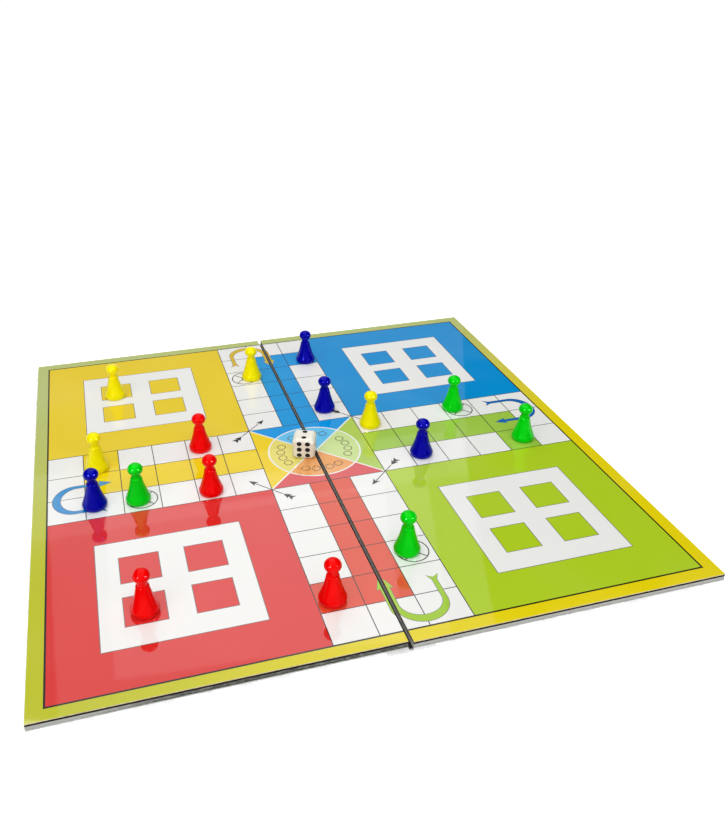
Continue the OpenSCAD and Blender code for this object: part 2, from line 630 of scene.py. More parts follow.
@dataclass
class Shape:
    """A surface: points in millimetres, and quads, triangles and caps of many corners as point numbers."""

    points: np.ndarray
    quads: np.ndarray = field(default_factory=lambda: np.zeros((0, 4), int))
    tris: np.ndarray = field(default_factory=lambda: np.zeros((0, 3), int))
    caps: list[np.ndarray] = field(default_factory=list)

    def moved(self, x: float = 0.0, y: float = 0.0, z: float = 0.0) -> "Shape":
        """The shape moved along the axes."""
        return Shape(self.points + np.array([x, y, z]), self.quads, self.tris, self.caps)

    def turned(self, quarters: int) -> "Shape":
        """The shape turned about Z, counter-clockwise from above.

        Args:
            quarters: The number of quarter turns.

        Returns:
            The turned shape.
        """
        cos, sin = ((1, 0), (0, 1), (-1, 0), (0, -1))[quarters % 4]
        spin = np.array([[cos, -sin, 0], [sin, cos, 0], [0, 0, 1]], float)
        return Shape(self.points @ spin.T, self.quads, self.tris, self.caps)

    def mirrored(self) -> "Shape":
        """The flat shape with left and right changed over."""
        return Shape(self.points * np.array([-1.0, 1.0, 1.0]), self.quads, self.tris, self.caps)

    def areas(self, faces: np.ndarray) -> np.ndarray:
        """Twice the area of flat faces: the sum of the cross products of neighbouring corners.

        Args:
            faces: Rows of point numbers.

        Returns:
            The areas, above zero where the faces look up.
        """
        corners = self.points[faces][..., :2]
        following = np.roll(corners, -1, axis=1)
        return (corners[..., 0] * following[..., 1] - following[..., 0] * corners[..., 1]).sum(axis=1)

    def packed(self) -> "Shape":
        """The flat shape without the points that no face uses.

        Returns:
            The same faces on fewer points.
        """
        used = np.unique(np.concatenate([self.quads.ravel(), self.tris.ravel()]))
        numbers = np.zeros(len(self.points), int)
        numbers[used] = np.arange(len(used))
        return Shape(self.points[used], numbers[self.quads], numbers[self.tris])

    def facing(self, up: bool) -> "Shape":
        """The flat quads, each turned round where it faces the wrong way.

        A quad with a corner on a straight edge becomes triangles, and one with no area at all is dropped.

        Args:
            up: Whether the faces are to look up.

        Returns:
            The faces that have an area.
        """
        corners = [np.roll(self.quads, -turn, axis=1)[:, :3] for turn in range(4)]
        solid = [np.abs(self.areas(corner)) > LEAST_AREA for corner in corners]
        whole = np.all(solid, axis=0)
        tris = np.vstack([corners[half][solid[half] & ~whole] for half in (0, 2)])
        quads, tris = (
            np.where(((self.areas(faces) > 0) == up)[:, None], faces, faces[:, ::-1])
            for faces in (self.quads[whole], tris)
        )
        return Shape(self.points, quads, tris).packed()

    def cut(self, side: Side) -> "Shape":
        """The part of a flat shape on one side of X = 0.

        Points past the line are brought back onto it along X, and quads that lose their area are dropped.

        Args:
            side: The side that is kept.

        Returns:
            The part that is left, which may have no faces.
        """
        points = self.points.copy()
        points[:, 0] = side.value * np.maximum(side.value * points[:, 0], 0.0)
        clamped = Shape(points, self.quads)
        kept = self.quads[np.abs(clamped.areas(self.quads)) > LEAST_AREA]
        return Shape(points, kept).packed()


def joined(parts: Sequence[Shape]) -> Shape:
    """One shape of quads that holds all the others.

    Args:
        parts: The shapes.

    Returns:
        Their points in order, and their quads with the point numbers moved up.
    """
    starts = np.cumsum([0] + [len(part.points) for part in parts[:-1]])
    quads = np.vstack([part.quads + start for part, start in zip(parts, starts)])
    return Shape(np.vstack([part.points for part in parts]), quads)


def grid(points: np.ndarray, closed: bool = False) -> Shape:
    """Quads between neighbours of a grid of points.

    Args:
        points: Points by row and column, with two or three coordinates each.
        closed: Whether the last column joins the first.

    Returns:
        The surface, at Z = 0 if the points are flat.
    """
    rows, columns, size = points.shape
    if size == 2:
        points = np.dstack([points, np.zeros((rows, columns))])
    numbers = np.arange(rows * columns).reshape(rows, columns)
    if closed:
        numbers = np.hstack([numbers, numbers[:, :1]])
    corners = (numbers[:-1, :-1], numbers[:-1, 1:], numbers[1:, 1:], numbers[1:, :-1])
    return Shape(points.reshape(-1, 3), np.stack(corners, axis=-1).reshape(-1, 4))


def rectangle(x0: float, y0: float, x1: float, y1: float) -> Shape:
    """A flat rectangle between two corners."""
    return grid(np.array([[(x0, y0), (x1, y0)], [(x0, y1), (x1, y1)]], float))


def box_line(x0: float, y0: float, x1: float, y1: float, inside: float, outside: float) -> Shape:
    """A mitred line round a rectangle: its corners moved in and out along their diagonals.

    Args:
        x0: Left edge.
        y0: Lower edge.
        x1: Right edge.
        y1: Upper edge.
        inside: How far the line reaches in from the edge.
        outside: How far it reaches out.

    Returns:
        The line.
    """
    corners = np.array([(x0, y0), (x1, y0), (x1, y1), (x0, y1)], float)
    outwards = np.array([(-1, -1), (1, -1), (1, 1), (-1, 1)], float)
    return grid(np.stack([corners - outwards * inside, corners + outwards * outside]), closed=True)


def kite(*corners: Sequence[float]) -> Shape:
    """A flat barb of four corners: tip, wing, notch and the other wing."""
    return Shape(np.column_stack([np.array(corners, float), np.zeros(4)]), np.array([[0, 1, 2, 3]]))


def arc(centre: Sequence[float], radii: Sequence[float], start: float, end: float, steps: int) -> np.ndarray:
    """Points of an elliptic arc: the centre plus the half axes times the cosine and sine of the angle.

    Args:
        centre: Middle of the ellipse.
        radii: Its two half axes.
        start: First angle in degrees.
        end: Last angle in degrees.
        steps: Number of steps between them.

    Returns:
        The points, one a row.
    """
    angle = np.radians(np.linspace(start, end, steps + 1))
    return np.column_stack([centre[0] + radii[0] * np.cos(angle), centre[1] + radii[1] * np.sin(angle)])


def band(path: np.ndarray, width: float | np.ndarray) -> Shape:
    """A flat band along a path: each path point plus and minus half the width along the path's normal.

    Args:
        path: Points of the middle line, one a row.
        width: Width of the band, or its width at each point.

    Returns:
        The band.
    """
    normal = sideways(path)
    half = np.broadcast_to(np.asarray(width, float) / 2, (len(path),))[:, None]
    return grid(np.stack([path - normal * half, path + normal * half], axis=1))


def sideways(path: np.ndarray) -> np.ndarray:
    """The unit normals of a path: its unit tangents turned a quarter to the left.

    Args:
        path: Points, one a row.

    Returns:
        The normals, one a row.
    """
    along = np.gradient(path, axis=0)
    along = along / np.linalg.norm(along, axis=1, keepdims=True)
    return np.column_stack([-along[:, 1], along[:, 0]])


def straight(start: Sequence[float], end: Sequence[float], step: float = 4.0) -> np.ndarray:
    """Points along a straight line, about one step apart."""
    count = max(2, int(math.dist(start, end) / step) + 1)
    return np.linspace(start, end, count)


def ring(centre: Sequence[float], radius: float, width: float, steps: int = 48) -> Shape:
    """A flat ring line: a circle's points at the radius less and plus half the width.

    Args:
        centre: Middle of the ring.
        radius: Radius of its middle line.
        width: Width of the line.
        steps: Steps round the circle.

    Returns:
        The ring.
    """
    turn = arc((0.0, 0.0), (1.0, 1.0), 0.0, 360.0 - 360.0 / steps, steps - 1)
    radii = np.array([radius - width / 2, radius + width / 2])[:, None, None]
    return grid(np.asarray(centre, float) + turn[None] * radii, closed=True)


def disc(centre: Sequence[float], radius: float, steps: int = 10) -> Shape:
    """A small flat disc: strips between points of its lower and upper half at the same X.

    Args:
        centre: Middle of the disc.
        radius: Its radius.
        steps: Steps along each half.

    Returns:
        The disc, blunt by a hair at its left and right ends.
    """
    blunt = 8.0
    halves = [arc(centre, (radius, sign * radius), blunt, 180.0 - blunt, steps) for sign in (-1, 1)]
    return grid(np.stack(halves))


def sector(
    inner: np.ndarray | float, outer: np.ndarray | float, start: float, end: float, steps: int
) -> Shape:
    """A flat part of a disc: points at an angle, between an inner and an outer radius.

    Args:
        inner: Inner radius, or one for each angle.
        outer: Outer radius, or one for each angle.
        start: First angle in degrees.
        end: Last angle in degrees.
        steps: Number of steps between them.

    Returns:
        The surface, centred on the origin.
    """
    turn = arc((0.0, 0.0), (1.0, 1.0), start, end, steps)
    radii = [np.broadcast_to(np.asarray(edge, float), (steps + 1,))[:, None] for edge in (inner, outer)]
    return grid(np.stack([turn * radius for radius in radii]))


def revolved(profile: np.ndarray, ripple: np.ndarray) -> Shape:
    """A surface of revolution about Z.

    Each profile point of radius and height is carried round the circle. Points on the axis become one pole,
    joined by triangles.

    Args:
        profile: Points of radius and height, with the first and last on the axis.
        ripple: What is added to the radius at each step round the circle.

    Returns:
        The closed surface.
    """
    segments = len(ripple)
    angle = np.linspace(0.0, 2 * math.pi, segments, endpoint=False)
    rim = profile[1:-1]
    radius = rim[:, :1] + ripple[None]
    height = np.broadcast_to(rim[:, 1:], radius.shape)
    points = np.stack([radius * np.cos(angle), radius * np.sin(angle), height], axis=-1)
    wall = grid(points, closed=True)
    poles = np.array([(0.0, 0.0, profile[0, 1]), (0.0, 0.0, profile[-1, 1])])
    first, last = len(wall.points), len(wall.points) + 1
    low = np.arange(segments)
    high = low + (len(rim) - 1) * segments
    tris = np.vstack([
        np.column_stack([np.full(segments, first), np.roll(low, -1), low]),
        np.column_stack([high, np.roll(high, -1), np.full(segments, last)]),
    ])
    return Shape(np.vstack([wall.points, poles]), wall.quads, tris)


def make_piece(
    name: str, shape: Shape, finishes: Sequence[Finish], slots: np.ndarray | None = None
) -> bpy.types.Object:
    """Makes an object at the origin from a shape in millimetres.

    Args:
        name: Name of the piece.
        shape: Its surface.
        finishes: Its finishes, one for each material slot.
        slots: Material slot of each face: quads, then triangles, then caps.

    Returns:
        The object, linked to the scene.
    """
    mesh = bpy.data.meshes.new(name)
    faces = shape.quads.tolist() + shape.tris.tolist() + [cap.tolist() for cap in shape.caps]
    mesh.from_pydata((shape.points * MM).tolist(), [], faces)
    for finish in finishes:
        mesh.materials.append(finish.material())
    if slots is not None:
        mesh.polygons.foreach_set("material_index", slots.astype(np.int32))
    mesh.update()
    piece = bpy.data.objects.new(name, mesh)
    bpy.context.scene.collection.objects.link(piece)
    LOG.info("%s: %d faces", name, len(faces))
    return piece


@cache
def loose_pieces() -> bpy.types.Collection:
    """The pawns and the die, which alone take the highlight lamps."""
    return bpy.data.collections.new("loose_pieces")


def smooth(piece: bpy.types.Object, angle: float = 40.0) -> None:
    """Shades a piece smooth, with sharp edges where faces meet at more than an angle in degrees."""
    piece.data.shade_smooth()
    piece.data.set_sharp_from_angle(angle=math.radians(angle))


# Inks of the upper print

WHITE = Ink("white_ink", (243, 243, 240), layer=2, drift=0.02)
PAPER = Ink("track_paper_white", (243, 243, 240), layer=0, drift=0.02)
# The border ink is painted paler towards the back as reflection
BORDER = FadedInk("border_ink", (192, 196, 14))
LINE = Ink("line_ink", (44, 41, 39), layer=3)
FRAME_LINE = Ink("frame_line_ink", (22, 18, 16), layer=4)
PALE_LINE = Ink("pale_line_ink", (112, 108, 104), layer=3)
MARK = Ink("arrow_ink", (48, 46, 46), layer=4)
HOME_MARK = Ink("home_mark_ink", (92, 74, 60), layer=4)


@dataclass(frozen=True)
class QuarterInks:
    """The inks of one quarter of the track."""

    yard: Ink
    lane: Ink
    home: Ink
    ring: Ink
    turn: Ink


QUARTERS = (
    QuarterInks(
        Ink("green_yard_ink", (178, 210, 34)),
        Ink("green_lane_ink", (162, 204, 70)),
        Ink("green_home_ink", (178, 208, 84)),
        Ink("pale_green_ink", (206, 228, 150)),
        Ink("blue_turn_ink", (8, 104, 186), layer=5),
    ),
    QuarterInks(
        Ink("blue_yard_ink", (0, 147, 217)),
        Ink("blue_lane_ink", (0, 154, 223)),
        Ink("blue_home_ink", (0, 154, 230)),
        Ink("pale_blue_ink", (104, 198, 242)),
        Ink("gold_turn_ink", (220, 186, 44), layer=5),
    ),
    QuarterInks(
        Ink("yellow_yard_ink", (239, 209, 34)),
        Ink("yellow_lane_ink", (243, 214, 2)),
        Ink("yellow_home_ink", (243, 212, 6)),
        Ink("pale_yellow_ink", (234, 222, 112)),
        Ink("sky_turn_ink", (14, 140, 206), layer=5),
    ),
    QuarterInks(
        Ink("red_yard_ink", (220, 42, 38)),
        Ink("red_lane_ink", (225, 76, 46)),
        Ink("red_home_ink", (220, 70, 76)),
        Ink("pale_orange_ink", (240, 166, 92)),
        Ink("lime_turn_ink", (160, 204, 22), layer=5),
    ),
)


@dataclass(frozen=True)
class BoardFrame:
    """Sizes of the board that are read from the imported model, in millimetres."""

    slit_half: float
    outer_x: float
    outer_y: float
    rim_x: float
    rim_y: float
    tape_half: float
    film_z: float
    ladder_z: float
    lower_z: float
    upper_z: float
    track_z: float
    top_z: float
    fronts: dict[Side, float]

    @classmethod
    def read(cls) -> "BoardFrame":
        """Reads the layers of the right half, and the front edge of each half.

        Returns:
            The sizes.
        """
        sheet_low, sheet_high = (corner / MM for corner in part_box("ludo_sheet_right"))
        film_low, film_high = (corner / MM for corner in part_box("base_film_right"))
        return cls(
            slit_half=sheet_low.x,
            outer_x=sheet_high.x,
            outer_y=sheet_high.y,
            rim_x=film_high.x,
            rim_y=film_high.y,
            tape_half=film_low.x,
            film_z=film_low.z,
            ladder_z=film_high.z,
            lower_z=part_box("lower_ply_right")[0].z / MM,
            upper_z=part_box("upper_ply_right")[0].z / MM,
            track_z=sheet_low.z,
            top_z=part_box("top_film_right")[1].z / MM,
            fronts={side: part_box(f"ludo_sheet_{side.label}")[0].y / MM for side in Side},
        )

    @property
    def half_width(self) -> float:
        """Width of one half, which is half the print."""
        return self.outer_x - self.slit_half


@dataclass
class Print:
    """A printed face of the board: shapes gathered by ink, then cut at the slit and made into pieces."""

    board: BoardFrame
    face_z: float
    faces_up: bool
    prefix: str
    slot: str
    ink_step: float = 0.008
    plates: dict[Ink, list[Shape]] = field(default_factory=dict)

    def put(self, ink: Ink, *shapes: Shape) -> None:
        """Adds flat shapes to an ink, as the print reads: a lower face is drawn as it is seen from below."""
        read = shapes if self.faces_up else (shape.mirrored() for shape in shapes)
        self.plates.setdefault(ink, []).extend(read)

    def build(self) -> None:
        """Makes one piece of each ink on each half."""
        for side in Side:
            for ink, shapes in self.plates.items():
                parts = [part for part in (shape.cut(side) for shape in shapes) if len(part.quads)]
                if parts:
                    self._plate(side, ink, joined(parts))

    def _plate(self, side: Side, ink: Ink, shape: Shape) -> None:
        """Makes the plate of one ink on one half, moved out by half the slit and trimmed along the front.

        Args:
            side: The half.
            ink: The ink, whose layer sets the plate's height over the paper.
            shape: The plate's flat shape on an unslit print.
        """
        outwards = 1 if self.faces_up else -1
        z = self.face_z + outwards * ink.layer * self.ink_step
        placed = shape.moved(side.value * self.board.slit_half)
        placed.points[:, 1] = np.maximum(placed.points[:, 1], self.board.fronts[side])
        placed.points[:, 2] = z + placed.points[:, 2] * outwards
        piece = make_piece(f"{self.prefix}_{ink.name}_{side.label}", placed.facing(self.faces_up), [ink])
        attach(piece, side.body)


@dataclass(frozen=True)
class TurnArrow:
    """The hooked arrow on the right arm, from the outer line of squares round the arm's end into the lane.

    Its band follows half an ellipse with a straight run at each end, and swells from the runs to the
    outermost point with the cosine of the angle.
    """

    centre: tuple[float, float] = (145.5, 12.9)
    radii: tuple[float, float] = (11.4, 12.6)
    run_w: float = 2.4
    bend_w: float = 4.3
    tail_x: float = 132.8
    notch_x: float = 131.1
    prong: tuple[float, float] = (128.9, 3.2)
    neck_x: float = 131.6
    tip_x: float = 125.2
    wing: tuple[float, float] = (132.5, 3.1)
    run_gap: float = 1.0
    steps: int = 40

    def parts(self, grow: float) -> list[Shape]:
        """Draws the arrow.

        Args:
            grow: Width that is added all round.

        Returns:
            The band, the head and the two prongs of the split tail.
        """
        high, low = self.centre[1] + self.radii[1], self.centre[1] - self.radii[1]
        bend_x = self.centre[0] - self.run_gap
        tail_run = straight((self.tail_x, high), (bend_x, high))
        head_run = straight((bend_x, low), (self.neck_x, low))
        path = np.vstack([tail_run, arc(self.centre, self.radii, 90.0, -90.0, self.steps), head_run])
        swell = np.cos(np.radians(np.linspace(90.0, -90.0, self.steps + 1)))
        swell = np.concatenate([np.zeros(len(tail_run)), swell, np.zeros(len(head_run))])
        width = self.run_w + (self.bend_w - self.run_w) * swell + 2 * grow
        wing_x, wing = self.wing[0] + grow, self.wing[1] + grow
        tip = (self.tip_x - 2 * grow, low)
        head = kite(tip, (wing_x, low - wing), (self.neck_x, low), (wing_x, low + wing))
        half, (prong_x, prong) = self.run_w / 2 + grow, self.prong
        prongs = [
            kite(
                (self.tail_x, high),
                (self.tail_x, high + side * half),
                (prong_x - grow, high + side * (prong + grow)),
                (self.notch_x - grow, high),
            )
            for side in (-1, 1)
        ]
        return [band(path, width), head.moved(z=2 * HAIR), *prongs]


@dataclass(frozen=True)
class CornerArrow:
    """The feathered arrow that leads from one arm to the next, past the corner of the home square.

    Lengths along it are measured from its tail or back from its tip.
    """

    tail: tuple[float, float] = (45.8, -23.6)
    tip: tuple[float, float] = (21.9, -45.8)
    feather_starts: tuple[float, ...] = (0.0, 2.9)
    feather_l: float = 4.8
    feather_half: float = 2.4
    feather_notch: float = 0.9
    head_l: float = 6.2
    head_half: float = 2.3
    head_notch: float = 4.4
    shaft_start: float = 8.0
    shaft_end: float = 4.2
    shaft_w: float = 0.6

    @property
    def length(self) -> float:
        """Length from tail to tip."""
        return math.dist(self.tail, self.tip)

    def at(self, distance: float, aside: float = 0.0) -> np.ndarray:
        """A point of the arrow: the tail, plus the unit way to the tip and its normal times two lengths.

        Args:
            distance: Length from the tail.
            aside: Length to the left.

        Returns:
            The point.
        """
        along = (np.array(self.tip) - np.array(self.tail)) / self.length
        across = np.array([-along[1], along[0]])
        return np.array(self.tail) + along * distance + across * aside

    def barb(self, front: float, back: float, half: float, notch: float) -> Shape:
        """A kite from its front to its two wings at the back, with a notch between them."""
        return kite(self.at(front), self.at(back, half), self.at(notch), self.at(back, -half))

    def parts(self) -> list[Shape]:
        """Draws the arrow.

        Returns:
            The feathers, the head and the shaft.
        """
        end = self.length
        barbs = [
            self.barb(start + self.feather_l, start, self.feather_half, start + self.feather_notch)
            for start in self.feather_starts
        ]
        barbs.append(self.barb(end, end - self.head_l, self.head_half, end - self.head_notch))
        shaft = band(straight(self.at(self.shaft_start), self.at(end - self.shaft_end)), self.shaft_w)
        return [*barbs, shaft.moved(z=3 * HAIR)]


@dataclass
class TrackPrint:
    """The upper print: a border, four yards, four arms of three lines of squares, and the home square.

    A quarter of the design is drawn on the right arm, along +X, and turned three times.
    """

    board: BoardFrame
    square_l: float = 21.3
    square_w: float = 22.8
    outer_squares: int = 6
    lane_squares: int = 5
    start_square: int = 4
    safe_square: float = 3.5
    arm_half: float = 34.2
    line_w: float = 0.5
    fine_line_w: float = 0.4
    mark_w: float = 0.65
    frame_line_w: float = 0.95
    yard_frame: float = 39.2
    yard_hole_x: tuple[float, float] = (6.6, 27.7)
    yard_hole_y: tuple[float, float] = (4.9, 26.0)
    home_r: float = 27.9
    home_line_w: float = 1.0
    home_eye: float = 0.4
    home_steps: int = 32
    spot_count: int = 4
    spot_place: float = 20.3
    spot_spread: float = 27.0
    spot_r: float = 2.5
    spot_line_w: float = 0.5
    safe_r: float = 8.8
    hub_r: float = 1.6
    small_ring_steps: int = 24
    turn_edge: float = 0.3
    turn_arrow: TurnArrow = TurnArrow()
    corner_arrow: CornerArrow = CornerArrow()

    @property
    def half(self) -> float:
        """Half the width of the track inside its border."""
        return self.board.half_width - self.border_w

    @property
    def border_w(self) -> float:
        """Width of the border that the squares leave."""
        return self.board.half_width - self.arm_half - self.outer_squares * self.square_l

    def along(self, squares: float) -> float:
        """Distance from the middle of the board to a number of squares out along an arm."""
        return self.arm_half + squares * self.square_l

    def draw(self, sheet: Print) -> None:
        """Puts the whole design on a sheet.

        Args:
            sheet: The print that takes the shapes.
        """
        track, inked = (-self.half, -self.half, self.half, self.half), self.frame_line_w / 2
        sheet.put(BORDER, box_line(*track, 0.0, self.board.half_width - self.half))
        sheet.put(FRAME_LINE, box_line(*track, inked, inked))
        for turn, inks in enumerate(QUARTERS):
            self._quarter(sheet, turn, inks)
        middle = (self.arm_half + self.half) / 2
        for x in (-middle, middle):
            for y in (-middle, middle):
                self._yard_frame(sheet, x, y)

    def _quarter(self, sheet: Print, turn: int, inks: QuarterInks) -> None:
        """Draws one quarter: yard, arm, home sector and marks.

        Args:
            sheet: The print that takes the shapes.
            turn: How many quarter turns the design makes.
            inks: The quarter's inks.
        """

        def put(ink: Ink, *shapes: Shape) -> None:
            """Puts shapes on the sheet, turned to this quarter."""
            sheet.put(ink, *(shape.turned(turn) for shape in shapes))

        arm, row = self.arm_half, self.square_w / 2
        put(inks.yard, rectangle(arm, -self.half, self.half, -arm))
        lane = rectangle(arm, -row, self.along(self.lane_squares), row)
        start = rectangle(self.along(self.start_square), -arm, self.along(self.start_square + 1), -row)
        put(inks.lane, lane, start)
        put(LINE, *(self._line(x, -arm, x, arm) for x in map(self.along, range(self.outer_squares))))
        put(LINE, *(self._line(arm, y, self.half, y).moved(z=3 * HAIR) for y in (-arm, -row, row, arm)))
        for ink, shapes in self._home(inks).items():
            put(ink, *shapes)
        put(MARK, *self._safe_mark())
        put(PALE_LINE, *self.turn_arrow.parts(self.turn_edge))
        put(inks.turn, *self.turn_arrow.parts(0.0))
        put(MARK, *self.corner_arrow.parts())

    def _line(self, x0: float, y0: float, x1: float, y1: float) -> Shape:
        """A track line along X or Y: a rectangle half the line's width to each side of it."""
        wide_x, wide_y = (self.line_w / 2 * (start == end) for start, end in ((x0, x1), (y0, y1)))
        return rectangle(x0 - wide_x, y0 - wide_y, x1 + wide_x, y1 + wide_y)

    def _home(self, inks: QuarterInks) -> dict[Ink, list[Shape]]:
        """Draws the home sector: a triangle outside the ring, a paler tint inside, white edges and spots.

        Args:
            inks: The quarter's inks.

        Returns:
            The shapes of each ink.
        """
        span = (-HALF_QUARTER, HALF_QUARTER, self.home_steps)
        angle = np.radians(np.linspace(-HALF_QUARTER, HALF_QUARTER, self.home_steps + 1))
        half, eye, arm = self.home_line_w / 2, self.home_eye, self.arm_half
        edge = sector(self.home_r - half, self.home_r + half, *span).moved(z=3 * HAIR)
        seam = band(straight((eye, eye), (arm, arm)), self.home_line_w)
        radii = (self.spot_place, self.spot_place)
        spots = arc((0.0, 0.0), radii, -self.spot_spread, self.spot_spread, self.spot_count - 1)
        return {
            inks.home: [sector(self.home_r, arm / np.cos(angle), *span)],
            inks.ring: [sector(eye, self.home_r, *span)],
            WHITE: [edge, seam],
            HOME_MARK: [ring(spot, self.spot_r, self.spot_line_w, self.small_ring_steps) for spot in spots],
        }

    def _safe_mark(self) -> list[Shape]:
        """Draws the mark of a safe square.

        Returns:
            A thin ring, its hub, and the two arms of its cross.
        """
        x, y = self.along(self.safe_square), self.square_w
        reach = self.safe_r / math.sqrt(2)
        rising = straight((x - reach, y - reach), (x + reach, y + reach))
        falling = straight((x - reach, y + reach), (x + reach, y - reach))
        return [
            ring((x, y), self.safe_r, self.mark_w),
            ring((x, y), self.hub_r, self.mark_w, self.small_ring_steps).moved(z=3 * HAIR),
            band(rising, self.mark_w).moved(z=HAIR),
            band(falling, self.mark_w).moved(z=2 * HAIR),
        ]

    def _yard_frame(self, sheet: Print, x: float, y: float) -> None:
        """Draws a yard's white frame with its four openings, and thin lines round them.

        Args:
            sheet: The print that takes the shapes.
            x: Middle of the yard in X.
            y: Middle of the yard in Y.
        """
        reach, fine = self.yard_frame, self.fine_line_w
        edges_x, edges_y = (
            np.array([-reach, *(-edge for edge in hole[::-1]), *hole, reach])
            for hole in (self.yard_hole_x, self.yard_hole_y)
        )
        bars = grid(np.stack(np.meshgrid(edges_x, edges_y), axis=-1))
        cells = np.arange(len(edges_x) - 1)
        column, row = np.meshgrid(cells, cells)
        bars.quads = bars.quads[~((column % 2 == 1) & (row % 2 == 1)).ravel()]
        sheet.put(WHITE, bars.moved(x, y))
        holes = [(edges_x[i], edges_y[j], edges_x[i + 1], edges_y[j + 1]) for i in (1, 3) for j in (1, 3)]
        lines = [box_line(*hole, fine, 0.0) for hole in holes]
        lines.append(box_line(-reach, -reach, reach, reach, 0.0, fine))
        sheet.put(PALE_LINE, *(line.moved(x, y) for line in lines))


# Lower print

LADDER_PAPER = Ink("ladder_paper_white", (243, 243, 240), layer=0, drift=0.02)
LADDER_BORDER = Ink("ladder_border_ink", (0, 118, 190))
TILE_INKS = (
    Ink("tile_yellow_ink", (250, 222, 110)),
    Ink("tile_sky_ink", (140, 202, 234)),
    None,
    Ink("tile_coral_ink", (240, 150, 128)),
    Ink("tile_mint_ink", (172, 216, 140)),
)
NUMBER = Ink("number_ink", (30, 34, 60), layer=3)
LADDER_WOOD = Ink("ladder_wood_ink", (196, 122, 54), layer=5)
SNAKE_INKS = (
    Ink("leaf_snake_ink", (66, 152, 62), layer=5),
    Ink("amber_snake_ink", (238, 128, 36), layer=5),
    Ink("violet_snake_ink", (126, 84, 172), layer=5),
)
SNAKE_MARK = Ink("snake_mark_ink", (252, 226, 96), layer=6)
PUPIL = Ink("pupil_ink", (20, 18, 18), layer=7)


class Digits:
    """Plain stroke figures in a box 0.6 wide and 1 high."""

    WIDTH = 0.6
    STEPS = 18

    @classmethod
    def strokes(cls, figure: str) -> list[np.ndarray]:
        """The middle lines of one figure.

        Args:
            figure: A figure from 0 to 9.

        Returns:
            Its strokes, each a path. Bowls are elliptic arcs, and a nine is a six turned half round.
        """
        steps = cls.STEPS
        if figure == "9":
            return [np.array([cls.WIDTH, 1.0]) - stroke for stroke in cls.strokes("6")]
        return {
            "0": [arc((0.3, 0.5), (0.27, 0.48), 0, 360, steps)],
            "1": [np.array([(0.12, 0.78), (0.36, 0.98)]), np.array([(0.36, 1.0), (0.36, 0.0)])],
            "2": [
                np.vstack([arc((0.3, 0.7), (0.26, 0.28), 170, -35, steps), (0.05, 0.03)]),
                np.array([(0.02, 0.03), (0.58, 0.03)]),
            ],
            "3": [
                arc((0.28, 0.74), (0.25, 0.24), 150, -90, steps),
                arc((0.28, 0.26), (0.28, 0.25), 90, -150, steps),
            ],
            "4": [
                np.array([(0.42, 0.0), (0.42, 1.0)]),
                np.array([(0.42, 0.97), (0.03, 0.3)]),
                np.array([(0.0, 0.3), (0.58, 0.3)]),
            ],
            "5": [
                np.array([(0.54, 0.97), (0.12, 0.97)]),
                np.array([(0.14, 1.0), (0.1, 0.52)]),
                arc((0.28, 0.31), (0.29, 0.3), 130, -150, steps),
            ],
            "6": [
                arc((0.3, 0.3), (0.26, 0.28), 0, 360, steps),
                arc((0.55, 0.34), (0.51, 0.62), 180, 110, steps),
            ],
            "7": [np.array([(0.02, 0.97), (0.58, 0.97)]), np.array([(0.54, 0.97), (0.22, 0.0)])],
            "8": [
                arc((0.3, 0.75), (0.22, 0.22), 0, 360, steps),
                arc((0.3, 0.27), (0.27, 0.26), 0, 360, steps),
            ],
        }[figure]


